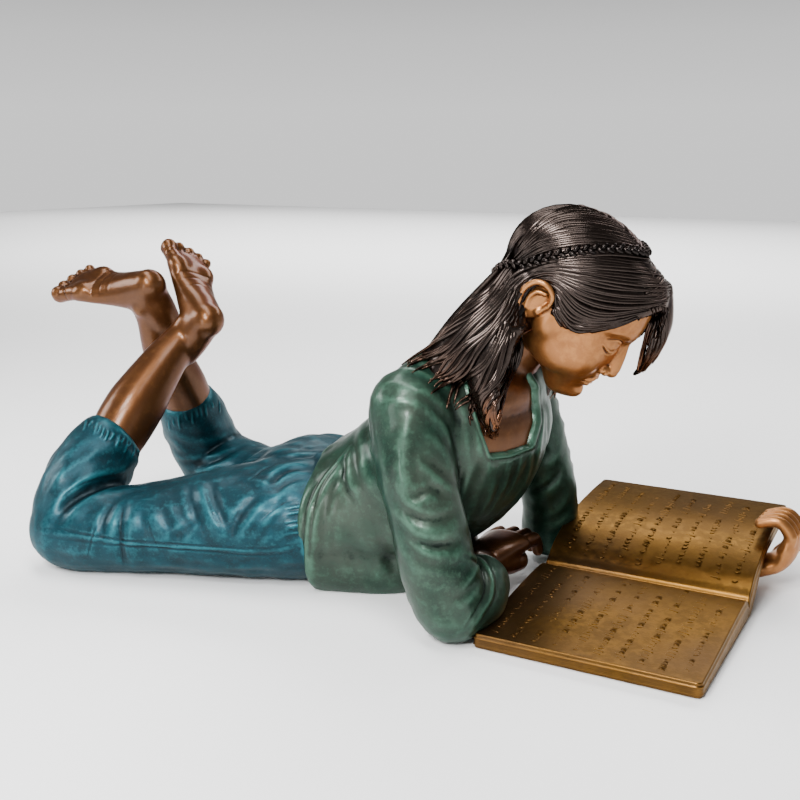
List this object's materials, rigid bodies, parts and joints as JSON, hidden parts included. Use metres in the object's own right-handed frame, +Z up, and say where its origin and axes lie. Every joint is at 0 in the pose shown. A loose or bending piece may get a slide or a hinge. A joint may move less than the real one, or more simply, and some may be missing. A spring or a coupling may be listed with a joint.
{
  "type": "bronze statue of a reading girl",
  "caption": "Cast bronze statue of a barefoot girl lying on the ground on bent arms, lower legs crossed in the air, reading a large open book.",
  "frame": {"origin": "middle of the statue's box, at the level of the ground it lies on", "axes": "+Z up, +X from the feet to the book, +Y to the figure's left"},
  "size_m": [1.1196, 0.6234, 0.5204],
  "materials": {
    "green_patina": "satin bronze under a dark green patina with brown and grey rubs",
    "golden_bronze": "satin golden brown bronze with darker brown areas",
    "blue_patina": "satin bronze under a mottled blue patina",
    "brown_bronze": "polished warm brown bronze",
    "hair_bronze": "polished dark brown bronze with copper in the crevices"
  },
  "bodies": {
    "root": {"girl_figure": "green_patina", "open_book": "golden_bronze"}
  },
  "joints": []
}
